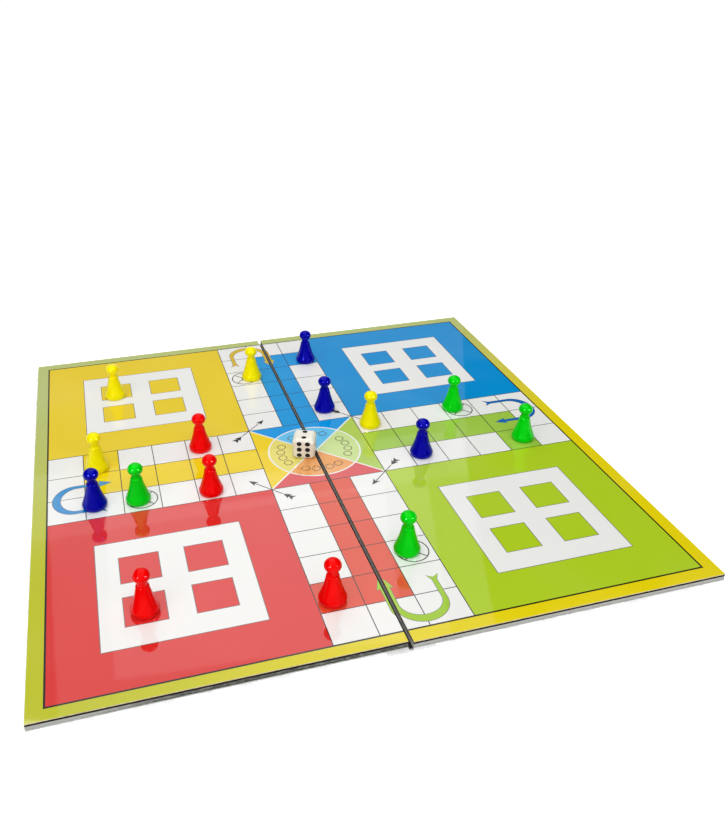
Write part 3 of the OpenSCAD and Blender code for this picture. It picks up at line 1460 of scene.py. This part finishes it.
@dataclass
class LadderPrint:
    """The lower print: a border and ten rows of ten numbered tiles, joined by ladders and snakes."""

    board: BoardFrame
    border_w: float = 8.0
    rows: int = 10
    line_w: float = 0.6
    frame_line_w: float = 1.0
    number_h: float = 6.6
    number_w: float = 0.9
    number_gap: float = 1.6
    number_inset: float = 2.6
    lift: float = 0.002
    edge_w: float = 0.45
    rail_gap: float = 9.0
    rail_w: float = 1.9
    rung_pitch: float = 8.0
    rung_w: float = 1.5
    snake_w: float = 6.4
    snake_head: tuple[float, float] = (14.0, 9.6)
    snake_sway: float = 8.5
    snake_wave: float = 62.0
    snake_points: int = 120
    tail_share: float = 0.4
    tail_power: float = 0.6
    mark_pitch: float = 9.0
    mark_gap: float = 3.0
    marked_share: float = 0.72
    mark_size: tuple[float, float] = (2.6, 1.7)
    eye: tuple[float, float, float] = (5.4, 2.5, 1.25)
    pupil_r: float = 0.62
    pupil_lead: float = 0.3
    tongue: tuple[float, float, float] = (3.2, 6.2, 1.5)
    tongue_w: float = 0.72
    fork_w: float = 0.54
    tongue_step: float = 1.0
    ladders: tuple[tuple[int, int], ...] = (
        (2, 38),
        (7, 26),
        (11, 49),
        (36, 66),
        (41, 62),
        (70, 92),
        (78, 97),
    )
    snakes: tuple[tuple[int, int], ...] = (
        (33, 9),
        (40, 20),
        (44, 17),
        (51, 31),
        (64, 43),
        (73, 47),
        (94, 76),
        (99, 80),
    )

    @property
    def half(self) -> float:
        """Half the width of the tiles together."""
        return self.board.half_width - self.border_w

    @property
    def tile(self) -> float:
        """Width of a tile."""
        return 2 * self.half / self.rows

    def corner(self, number: int) -> np.ndarray:
        """The lower left corner of a tile. Every second row runs from right to left.

        Args:
            number: The tile's number, from one.

        Returns:
            The corner.
        """
        row, column = divmod(number - 1, self.rows)
        column = self.rows - 1 - column if row % 2 else column
        return np.array([column, row]) * self.tile - self.half

    def middle(self, number: int) -> np.ndarray:
        """The middle of a tile."""
        return self.corner(number) + self.tile / 2

    def draw(self, sheet: Print) -> None:
        """Puts the whole design on a sheet.

        Args:
            sheet: The print that takes the shapes.
        """
        track, inked = (-self.half, -self.half, self.half, self.half), self.frame_line_w / 2
        sheet.put(LADDER_BORDER, box_line(*track, 0.0, self.border_w))
        sheet.put(FRAME_LINE, box_line(*track, inked, inked))
        self._tiles(sheet)
        for foot, top in self.ladders:
            self._ladder(sheet, self.middle(foot), self.middle(top))
        for count, (head, tail) in enumerate(self.snakes):
            self._snake(sheet, self.middle(tail), self.middle(head), SNAKE_INKS[count % len(SNAKE_INKS)])

    def _tiles(self, sheet: Print) -> None:
        """Draws the tiles in turning tints, the lines between them, and their numbers.

        Args:
            sheet: The print that takes the shapes.
        """
        for number in range(1, self.rows**2 + 1):
            x, y = self.corner(number)
            column, row = round((x + self.half) / self.tile), round((y + self.half) / self.tile)
            tint = TILE_INKS[(column + 2 * row) % len(TILE_INKS)]
            if tint is not None:
                sheet.put(tint, rectangle(x, y, x + self.tile, y + self.tile))
            self._number(sheet, number, x, y)
        half, reach = self.line_w / 2, self.half
        for edge in (self.tile * step - reach for step in range(1, self.rows)):
            sheet.put(LINE, rectangle(edge - half, -reach, edge + half, reach))
            sheet.put(LINE, rectangle(-reach, edge - half, reach, edge + half).moved(z=self.lift))

    def _number(self, sheet: Print, number: int, x: float, y: float) -> None:
        """Draws a tile's number in its upper left corner.

        Args:
            sheet: The print that takes the shapes.
            number: The number.
            x: Left edge of the tile.
            y: Lower edge of the tile.
        """
        top = y + self.tile - self.number_inset - self.number_h
        for place, figure in enumerate(str(number)):
            left = x + self.number_inset + place * (Digits.WIDTH * self.number_h + self.number_gap)
            for layer, stroke in enumerate(Digits.strokes(figure)):
                line = stroke * self.number_h + np.array([left, top])
                sheet.put(NUMBER, band(line, self.number_w).moved(z=layer * self.lift))

    def _ladder(self, sheet: Print, foot: np.ndarray, top: np.ndarray) -> None:
        """Draws a ladder: two rails, and rungs at an even pitch, on a slightly wider dark edge.

        Args:
            sheet: The print that takes the shapes.
            foot: Where the ladder starts.
            top: Where it ends.
        """
        length = math.dist(foot, top)
        along = (top - foot) / length
        across = np.array([-along[1], along[0]]) * self.rail_gap / 2
        rungs = np.arange(self.rung_pitch / 2, length, self.rung_pitch)
        for ink, grow in ((FRAME_LINE, 2 * self.edge_w), (LADDER_WOOD, 0.0)):
            for side in (-1, 1):
                start, end = (place + side * across for place in (foot, top))
                rail = straight(start - along * grow / 2, end + along * grow / 2)
                sheet.put(ink, band(rail, self.rail_w + grow).moved(z=self.lift))
            for rung in rungs:
                middle = foot + along * rung
                sheet.put(ink, band(straight(middle - across, middle + across), self.rung_w + grow))

    def _snake(self, sheet: Print, tail: np.ndarray, head: np.ndarray, ink: Ink) -> None:
        """Draws a snake from its tail to its head.

        The body's middle line is the straight way plus a sine wave that dies out at both ends with the root
        of half a wave. Its width is the body's, drawn in to nothing at the tail by a power of the share of
        its length, and the head is an ellipse.

        Args:
            sheet: The print that takes the shapes.
            tail: Where the snake ends.
            head: Where its head lies.
            ink: Its colour.
        """
        length = math.dist(tail, head)
        along = (head - tail) / length
        share = np.linspace(0.0, 1.0, self.snake_points)
        turns = max(1, round(length / self.snake_wave))
        sway = self.snake_sway * np.sin(2 * math.pi * turns * share) * np.sqrt(np.sin(math.pi * share))
        path = tail + np.outer(share * length, along) + np.outer(sway, (-along[1], along[0]))
        steps = np.linalg.norm(np.diff(path, axis=0), axis=1)
        to_head = np.concatenate([np.cumsum(steps[::-1])[::-1], [0.0]])
        head_l, head_w = self.snake_head
        bulge = head_w * np.sqrt(np.clip(1 - (2 * to_head / head_l - 1) ** 2, 0.0, 1.0))
        body = self.snake_w * np.clip(share / self.tail_share, 0.0, 1.0) ** self.tail_power
        width = np.maximum(bulge, body * (to_head > head_l / 2))
        sheet.put(FRAME_LINE, band(path, width + 2 * self.edge_w), *self._tongue(path))
        sheet.put(ink, band(path, width))
        self._snake_marks(sheet, path, to_head)

    def _tongue(self, path: np.ndarray) -> list[Shape]:
        """A forked tongue in front of the head: two slim barbs from one root.

        Args:
            path: The snake's middle line, from tail to head.

        Returns:
            The stem and the two barbs.
        """
        forward = (path[-1] - path[-2]) / math.dist(path[-1], path[-2])
        aside = np.array([-forward[1], forward[0]])
        fork, reach, spread = self.tongue
        root, split = path[-1] - forward, path[-1] + forward * fork
        stem = band(straight(root, split, self.tongue_step), self.tongue_w)
        tips = [path[-1] + forward * reach + side * aside * spread for side in (-1, 1)]
        barbs = [band(straight(split, tip, self.tongue_step), self.fork_w) for tip in tips]
        return [stem, *(barb.moved(z=self.lift) for barb in barbs)]

    def _snake_marks(self, sheet: Print, path: np.ndarray, to_head: np.ndarray) -> None:
        """Draws the diamonds along a snake's back and its two eyes.

        Args:
            sheet: The print that takes the shapes.
            path: The snake's middle line, from tail to head.
            to_head: Distance of each of its points from the head's tip.
        """
        normals = sideways(path)

        def spot(distance: float) -> tuple[np.ndarray, np.ndarray, np.ndarray]:
            """Finds a point of the snake's middle line.

            Args:
                distance: How far it lies from the head's tip.

            Returns:
                The point, and the ways forward and aside there.
            """
            places = [np.interp(-distance, -to_head, values) for values in (*path.T, *normals.T)]
            aside = np.array(places[2:])
            return np.array(places[:2]), np.array([aside[1], -aside[0]]), aside

        long, wide = self.mark_size
        first, last = self.snake_head[0] + self.mark_gap, to_head[0] * self.marked_share
        for distance in np.arange(first, last, self.mark_pitch):
            at, forward, aside = spot(distance)
            front, left = forward * long, aside * wide
            sheet.put(SNAKE_MARK, kite(at + front, at + left, at - front, at - left))
        behind, apart, radius = self.eye
        at, forward, aside = spot(behind)
        for side in (-1, 1):
            sheet.put(SNAKE_MARK, disc(at + side * aside * apart, radius))
            sheet.put(PUPIL, disc(at + side * aside * apart + forward * self.pupil_lead, self.pupil_r))


# Board


# Painted shade: the left grey ply is dark near the slit and pale at its ends; the right one is pale from the
# slit on
GREY_PLIES = {
    Side.LEFT: StainedBoard("grey_ply_edge", (72, 73, 69), (128, 130, 125), (186, 188, 184), 2.0, 0.6, 0.5),
    Side.RIGHT: StainedBoard(
        "pale_ply_edge",
        (120, 118, 112),
        (168, 166, 160),
        (214, 214, 210),
        2.0,
        0.6,
        0.5,
        bleach_x=(-2.0, -1.0),
    ),
}


@dataclass
class BoardHalf:
    """One half of the board: two printed sheets, two plies and the base film."""

    board: BoardFrame
    side: Side
    print_depth: float = 0.06
    ply_step: float = 2.0
    ply_roughness: float = 0.05
    ply_torn: tuple[float, float] = (-1.0, 0.4)
    ply_round: float = 0.10
    ply_rows: tuple[float, ...] = (0.0, 0.12, 0.35, 0.65, 0.88, 1.0)
    ply_insets: tuple[float, ...] = (1.0, 0.2, 0.0, 0.0, 0.2, 1.0)
    ply_smooth: float = 60.0
    film_lap: float = 0.3
    film_points: int = 60
    cream: CutPaper = CutPaper("cut_paper", (244, 231, 190))
    pale: CutPaper = CutPaper("white_cut_paper", (212, 213, 209))
    dark: CutBoard = CutBoard("dark_ply_edge", (14, 9, 4), (40, 28, 16), (78, 60, 42), 1.1, 0.68, 0.7)
    film: ClearFilm = ClearFilm("clear_base_film", (212, 217, 219), 0.10, 0.26)

    def build(self) -> None:
        """Builds and dresses the pieces of the half."""
        board, grey = self.board, GREY_PLIES[self.side]
        low, high = board.film_z + self.print_depth, board.top_z - self.print_depth
        self._sheet("track_paper", [PAPER, self.cream], board.track_z, high, True)
        self._ply("dark_ply", "upper_ply", self.dark, board.upper_z, board.track_z, "dark_board")
        self._ply("grey_ply", "lower_ply", grey, board.lower_z, board.upper_z, "grey_board")
        self._sheet("ladder_paper", [LADDER_PAPER, self.pale], low, board.lower_z, False)
        self._film_rim()

    def _outline(self, step: float) -> np.ndarray:
        """Points round the half, counter-clockwise from above.

        Args:
            step: Spacing of the points, nearly. A step beyond the half's length leaves the corners alone.

        Returns:
            The points, one a row, with the first not repeated.
        """
        near, far = sorted((self.side.value * self.board.slit_half, self.side.value * self.board.outer_x))
        front, back = self.board.fronts[self.side], self.board.outer_y
        corners = [(near, front), (far, front), (far, back), (near, back), (near, front)]
        return np.vstack([straight(a, b, step)[:-1] for a, b in zip(corners[:-1], corners[1:])])

    def _slab(self, step: float, rows: np.ndarray, inset: np.ndarray, shift: np.ndarray | float) -> Shape:
        """A closed slab: the outline carried up through rows of height and inset, with a cap at each end.

        Args:
            step: Spacing of points along the outline.
            rows: Height of each row.
            inset: How far each row is drawn in from the outline.
            shift: How far each point stands out from its row, by row and point.

        Returns:
            The slab, with its lower cap first.
        """
        outline = self._outline(step)
        along = np.roll(outline, -1, axis=0) - np.roll(outline, 1, axis=0)
        outwards = np.column_stack([along[:, 1], -along[:, 0]])
        outwards = outwards / np.linalg.norm(outwards, axis=1, keepdims=True)
        reach = (np.zeros((len(rows), len(outline))) - inset[:, None] + shift)[..., None]
        plan = outline[None] + outwards[None] * reach
        height = np.broadcast_to(rows[:, None, None], (len(rows), len(outline), 1))
        wall = grid(np.concatenate([plan, height], axis=-1), closed=True)
        count = len(outline)
        wall.caps = [np.arange(count)[::-1], np.arange(count) + (len(rows) - 1) * count]
        return wall

    def _dress(self, piece: bpy.types.Object, slot: str, *nodes: str) -> None:
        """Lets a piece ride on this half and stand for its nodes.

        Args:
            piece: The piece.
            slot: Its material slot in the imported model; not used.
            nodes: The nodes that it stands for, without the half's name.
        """
        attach(piece, self.side.body)
        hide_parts(*(f"{node}_{self.side.label}" for node in nodes))

    def _sheet(self, name: str, finishes: list[Finish], low: float, high: float, up: bool) -> None:
        """A printed sheet with its film: a thin slab with a bare white face and cut edges.

        Args:
            name: Name of the piece, without the half's name.
            finishes: The finish of its face, and that of its edges and back.
            low: Height of its lower side.
            high: Height of its upper side.
            up: Whether its face is its upper side.
        """
        shape = self._slab(math.inf, np.array([low, high]), np.zeros(2), 0.0)
        slots = np.ones(len(shape.quads) + 2)
        slots[-1 if up else -2] = 0
        piece = make_piece(f"{name}_{self.side.label}", shape, finishes, slots)
        nodes = ("ludo_sheet", "top_film") if up else ("ladder_sheet",)
        self._dress(piece, "track_print" if up else "ladder_print", *nodes)

    def _ply(self, name: str, node: str, finish: CutBoard, low: float, high: float, slot: str) -> None:
        """A board ply with a torn, slightly rounded cut edge.

        Args:
            name: Name of the piece, without the half's name.
            node: The node that it stands for, without the half's name.
            finish: Its finish.
            low: Height of its lower side.
            high: Height of its upper side.
            slot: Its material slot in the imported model.
        """
        rows = low + np.array(self.ply_rows) * (high - low)
        inset = self.ply_round * np.array(self.ply_insets)
        count = len(self._outline(self.ply_step))
        draws = np.random.default_rng(SEED + self.side.value)
        torn = draws.uniform(*self.ply_torn, (len(rows), count)) * self.ply_roughness
        shape = self._slab(self.ply_step, rows, inset, torn)
        piece = make_piece(f"{name}_{self.side.label}", shape, [finish])
        smooth(piece, self.ply_smooth)
        self._dress(piece, slot, node)

    def _film_rim(self) -> None:
        """The rim of clear film past the outer edges: a flat strip carried round three sides."""
        sign, near = self.side.value, self.board.tape_half
        far, back = self.board.rim_x, self.board.rim_y
        outer = np.array([(near, -back), (far, -back), (far, back), (near, back)])
        far, back = self.board.outer_x - self.film_lap, self.board.outer_y - self.film_lap
        front = self.board.fronts[self.side] + self.film_lap
        inner = np.array([(near, front), (far, front), (far, back), (near, back)])
        edges = [
            np.vstack([np.linspace(start, end, self.film_points) for start, end in zip(edge[:-1], edge[1:])])
            for edge in (outer, inner)
        ]
        keep = np.r_[True, np.linalg.norm(np.diff(edges[0], axis=0), axis=1) > LEAST_STEP]
        outer_line, inner_line = (edge[keep] * np.array([sign, 1.0]) for edge in edges)
        thick = self.board.ladder_z - self.board.film_z
        base = np.full(len(outer_line), self.board.film_z)
        loop = [
            np.column_stack([inner_line, base]),
            np.column_stack([outer_line, base]),
            np.column_stack([outer_line, base + thick]),
            np.column_stack([inner_line, base + thick]),
        ]
        strip = grid(np.stack(loop, axis=1), closed=True)
        last = len(strip.points) - 4
        strip.quads = np.vstack([strip.quads, [[3, 2, 1, 0]], [[last, last + 1, last + 2, last + 3]]])
        strip.quads = strip.quads[:, ::-sign]
        piece = make_piece(f"base_film_rim_{self.side.label}", strip, [self.film])
        self._dress(piece, "clear_film", "base_film")


@dataclass
class HingeTape:
    """The clear tape that joins the halves under the slit, which a fold bends; here it is one flat piece on
    neither half.
    """

    board: BoardFrame
    film: HingeFilm = HingeFilm("hinge_tape_film", (176, 181, 182), 0.22, 0.45)
    columns: int = 49
    rows: int = 60
    gather: float = 1.8

    def build(self) -> None:
        """A thin closed sheet, with columns gathered by a power at the slit where it bends."""
        share = np.linspace(-1.0, 1.0, self.columns)
        x = self.board.tape_half * np.sign(share) * np.abs(share) ** self.gather
        y = np.linspace(-self.board.rim_y, self.board.rim_y, self.rows)
        low, high = self.board.film_z, self.board.ladder_z
        around = np.concatenate([x, x[::-1]])
        height = np.concatenate([np.full(len(x), low), np.full(len(x), high)])
        loop = np.stack(np.broadcast_arrays(around[None], y[:, None], height[None]), axis=-1)
        shape = grid(loop, closed=True)
        end = np.arange(2 * len(x))
        shape.caps = [end, end[::-1] + (self.rows - 1) * 2 * len(x)]
        shape.quads = shape.quads[:, ::-1]
        piece = make_piece("clear_hinge_tape", shape, [self.film])
        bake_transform(piece)
        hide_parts("hinge_tape")


# Loose pieces


@dataclass
class Pawn:
    """A hollow moulded pawn: foot, cone, collar, neck and a squashed ball head, turned about its axis."""

    colour: str
    number: int
    finish: MouldedPlastic
    widest: float = 14.4
    flare_z: float = 2.6
    foot: float = 12.6
    foot_ring: float = 0.9
    cone_dip: float = 0.4
    collar: float = 6.7
    shoulder: float = 0.8
    neck: float = 5.1
    neck_l: float = 2.4
    head: float = 8.8
    head_h: float = 7.2
    wall: float = 1.4
    roof: float = 1.5
    segments: int = 128
    hollow_points: int = 8
    flare_steps: int = 10
    cone_points: int = 14
    shoulder_steps: int = 8
    neck_points: int = 6
    head_steps: int = 26
    seam: float = 0.035
    seam_w: float = 0.05
    seam_turn: float = 0.7
    sharp: float = 50.0

    @property
    def node(self) -> str:
        """Name of the pawn's node and body."""
        return f"{self.colour}_pawn_{self.number}"

    def profile(self, height: float) -> np.ndarray:
        """Radius and height from the head's pole down the outside, and up the hollow to its roof.

        The head is an ellipse, the neck is straight, the shoulder and the foot are quarter ellipses, and the
        cone dips in towards the axis along a parabola.

        Args:
            height: Height of the pawn.

        Returns:
            The points, from the hollow's roof round to the top of the head.
        """
        head_z = height - self.head_h / 2
        head_start = -math.degrees(math.acos(self.neck / self.head))
        neck_top = head_z + self.head_h / 2 * math.sin(math.radians(head_start))
        collar_z = neck_top - self.neck_l - self.shoulder
        hollow_z = collar_z - self.roof
        hollow_r = self.collar / 2 - self.wall
        ring_r = self.foot / 2 - self.foot_ring
        foot_r = self.foot / 2
        roof = [(0.0, hollow_z), (hollow_r / 2, hollow_z)]
        inside = np.linspace((hollow_r, hollow_z), (ring_r, 0.0), self.hollow_points)
        flare_radii = ((self.widest - self.foot) / 2, self.flare_z)
        flare = arc((foot_r, self.flare_z), flare_radii, -90.0, 0.0, self.flare_steps)
        shoulder_radii = ((self.collar - self.neck) / 2, self.shoulder)
        shoulder = arc((self.neck / 2, collar_z), shoulder_radii, 0.0, 90.0, self.shoulder_steps)
        share = np.linspace(0.0, 1.0, self.cone_points)[1:-1, None]
        dip = np.array([4 * self.cone_dip, 0.0]) * share * (1 - share)
        cone = flare[-1] + (shoulder[0] - flare[-1]) * share - dip
        neck = np.linspace(shoulder[-1], (self.neck / 2, neck_top), self.neck_points)[1:-1]
        head = arc((0.0, head_z), (self.head / 2, self.head_h / 2), head_start, 90.0, self.head_steps)
        return np.vstack([roof, inside, flare, cone, shoulder, neck, head[:-1], (0.0, height)])

    def build(self) -> None:
        """Builds the pawn where its node stands, with a fine mould seam down two sides.

        The seam stands out by a bell curve of the sine of the angle, and turns on with the pawn's number.
        """
        low, high = (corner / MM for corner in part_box(self.node))
        angle = np.linspace(0.0, 2 * math.pi, self.segments, endpoint=False) + self.seam_turn * self.number
        ripple = self.seam * np.exp(-((np.sin(angle) / self.seam_w) ** 2))
        shape = revolved(self.profile(high.z - low.z), ripple)
        shape = shape.moved((low.x + high.x) / 2, (low.y + high.y) / 2, low.z)
        piece = make_piece(f"{self.node}_moulding", shape, [self.finish])
        smooth(piece, self.sharp)
        loose_pieces().objects.link(piece)
        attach(piece, self.node)
        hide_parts(self.node)


PAWNS_OF_A_COLOUR = 4
PAWN_FINISHES = {
    "yellow": MouldedPlastic("yellow_moulding", (255, 242, 0), (255, 237, 0), mirror=(255, 246, 90)),
    "red": MouldedPlastic("red_moulding", (252, 3, 3), (242, 0, 2), mirror=(255, 90, 90)),
    "blue": MouldedPlastic("blue_moulding", (0, 2, 166), (0, 0, 148), glow=0.05, mirror=(90, 90, 255)),
    "green": MouldedPlastic("green_moulding", (0, 220, 18), (0, 206, 12), mirror=(90, 255, 100)),
}


@dataclass
class Die:
    """The ivory die with painted dimples. Its solids have the shape already and only get their finish."""

    ivory: MouldedPlastic = MouldedPlastic("ivory_moulding", (244, 241, 230), (238, 233, 219), shine=0.45)
    paint: PipPaint = PipPaint("dimple_paint")

    def build(self) -> None:
        """Dresses the die's two nodes."""
        for node, finish in (("die_cube", self.ivory), ("die_pips", self.paint)):
            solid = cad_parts[node]
            solid.data.materials.clear()
            solid.data.materials.append(finish.material())
            loose_pieces().objects.link(solid)
            LOG.info("%s: dressed with %s", node, finish.name)


# Studio


@dataclass(frozen=True)
class Lamp:
    """A soft rectangular lamp that looks at a point, or one for highlights on the loose pieces alone."""

    name: str
    place: Colour
    target: Colour
    width: float
    height: float
    radiance: float
    highlight: bool = False

    def build(self) -> None:
        """Adds the lamp. Its power is pi times its area times its radiance."""
        data = bpy.data.lights.new(self.name, "AREA")
        data.shape = "RECTANGLE"
        data.size = self.width
        data.size_y = self.height
        data.energy = math.pi * self.width * self.height * self.radiance
        lamp = bpy.data.objects.new(self.name, data)
        lamp.location = self.place
        if self.highlight:
            lamp.visible_diffuse = False
            lamp.light_linking.receiver_collection = loose_pieces()
        lamp.rotation_euler = (Vector(self.target) - Vector(self.place)).to_track_quat("-Z", "Y").to_euler()
        bpy.context.scene.collection.objects.link(lamp)


@dataclass(frozen=True)
class WhiteFloor(Finish):
    """A white floor that shows as white to the camera and in reflections, and keeps soft shadows."""

    grey: float = 0.92
    near_lift: float = 0.55
    far_lift: float = 0.92
    near: float = 0.32
    far: float = 0.95

    def dress(self, graph: Graph) -> None:
        """A plain white diffuse surface with a lift for the rays that see it, which grows with the distance.

        Args:
            graph: The material's nodes.
        """
        away = graph.add("ShaderNodeVectorMath", {"operation": "LENGTH"}, {0: graph.place()}, output="Value")
        lifted = away.between(self.near, self.far) * (self.far_lift - self.near_lift) + self.near_lift
        seen = graph.ray("Camera").larger(graph.ray("Glossy")).larger(graph.ray("Transmission"))
        lift = graph.add("ShaderNodeEmission", None, {"Color": CLEAN_WHITE, "Strength": seen * lifted})
        matt = graph.add("ShaderNodeBsdfDiffuse", None, {"Color": (self.grey, self.grey, self.grey, 1.0)})
        graph.end(graph.add("ShaderNodeAddShader", None, {0: matt, 1: lift}))


@dataclass
class Studio:
    """Floor, soft light and the camera of the photograph."""

    picture: tuple[int, int] = (725, 832)
    focal: float = 841.33
    axis_pixel: tuple[float, float] = (319.80, 358.32)
    azimuth: float = -15.602
    elevation: float = 26.490
    roll: float = -0.183
    camera_place: Colour = (-0.1183, -0.4370, 0.2950)
    sensor: float = 36.0
    clip: tuple[float, float] = (0.01, 60.0)
    world_light: float = 0.1
    mirrored_sky: float = 0.02
    floor_half: float = 8000.0
    floor_z: float = -0.1
    lamps: tuple[Lamp, ...] = (
        Lamp("overhead_softbox", (-0.10, 0.033, 1.15), (0.0, 0.0, 0.0), 1.4, 1.4, 1.84),
        Lamp("front_softbox", (-0.35, -1.25, 0.85), (0.0, 0.0, 0.02), 3.0, 1.9, 1.14),
        Lamp("high_panel_wide", (0.04, 0.52, 0.555), (0.0, 0.0, 0.10), 0.72, 0.37, 0.38),
        Lamp("high_panel_mid", (0.045, 0.52, 0.555), (0.0, 0.0, 0.10), 0.57, 0.30, 0.38),
        Lamp("high_panel_core", (0.05, 0.52, 0.555), (0.0, 0.0, 0.10), 0.42, 0.23, 0.38),
        Lamp("low_panel", (0.01, 0.53, 0.25), (0.0, 0.0, 0.10), 0.70, 0.32, 0.22),
        Lamp("left_strip", (-0.62, -0.55, 0.42), (0.0, 0.0, 0.02), 0.18, 0.30, 90.0, True),
        Lamp("right_strip", (0.55, -0.62, 0.42), (0.0, 0.0, 0.02), 0.18, 0.30, 90.0, True),
    )

    def build(self) -> None:
        """Builds the stage and sets the scene's camera and view transform."""
        bpy.context.scene.view_settings.view_transform = "Standard"
        self._world()
        self._floor()
        for lamp in self.lamps:
            lamp.build()
        self._camera()

    def _world(self) -> None:
        """A sky that is white to the camera, dim in the film's mirror and faint as light."""
        world = bpy.data.worlds.new("studio_world")
        world.use_nodes = True
        graph = Graph(world.node_tree)
        unseen = graph.ray("Glossy") * (self.mirrored_sky - self.world_light) + self.world_light
        strength = graph.ray("Camera").larger(graph.ray("Transmission")).larger(unseen)
        sky = graph.add("ShaderNodeBackground", None, {"Color": CLEAN_WHITE, "Strength": strength})
        graph.end(sky, "ShaderNodeOutputWorld")
        bpy.context.scene.world = world

    def _floor(self) -> None:
        """A wide flat floor just under the board."""
        reach = self.floor_half
        plane = rectangle(-reach, -reach, reach, reach).moved(z=self.floor_z)
        floor = make_piece("floor", plane, [WhiteFloor("white_floor")])

    def _camera(self) -> None:
        """The camera, from the focal length and the pixel of its axis in the photograph."""
        long_side = max(self.picture)
        data = bpy.data.cameras.new("photo_camera")
        data.sensor_width = self.sensor
        data.lens = self.focal * self.sensor / long_side
        data.shift_x = (self.picture[0] / 2 - self.axis_pixel[0]) / long_side
        data.shift_y = (self.axis_pixel[1] - self.picture[1] / 2) / long_side
        data.clip_start, data.clip_end = self.clip
        a, e = math.radians(self.azimuth), math.radians(self.elevation)
        back = Vector((math.sin(a) * math.cos(e), -math.cos(a) * math.cos(e), math.sin(e)))
        aim = (-back).to_track_quat("-Z", "Y").to_matrix()
        roll = Matrix.Rotation(math.radians(self.roll), 3, "Z")
        camera = bpy.data.objects.new("photo_camera", data)
        camera.rotation_mode = "QUATERNION"
        camera.rotation_quaternion = (aim @ roll).to_quaternion()
        camera.location = self.camera_place
        bpy.context.scene.collection.objects.link(camera)
        bpy.context.scene.camera = camera


def main() -> None:
    """Builds the studio, the board, its prints and the loose pieces."""
    logging.basicConfig(level=logging.INFO, format="%(name)s: %(message)s")
    Studio().build()
    board = BoardFrame.read()
    for side in Side:
        BoardHalf(board, side).build()
    HingeTape(board).build()
    track = Print(board, board.top_z - BoardHalf.print_depth, True, "track", "track_print")
    TrackPrint(board).draw(track)
    track.build()
    ladders = Print(board, board.film_z + BoardHalf.print_depth, False, "ladder", "ladder_print")
    LadderPrint(board).draw(ladders)
    ladders.build()
    for colour, finish in PAWN_FINISHES.items():
        for number in range(1, PAWNS_OF_A_COLOUR + 1):
            Pawn(colour, number, finish).build()
    Die().build()


if __name__ == "__main__":
    main()
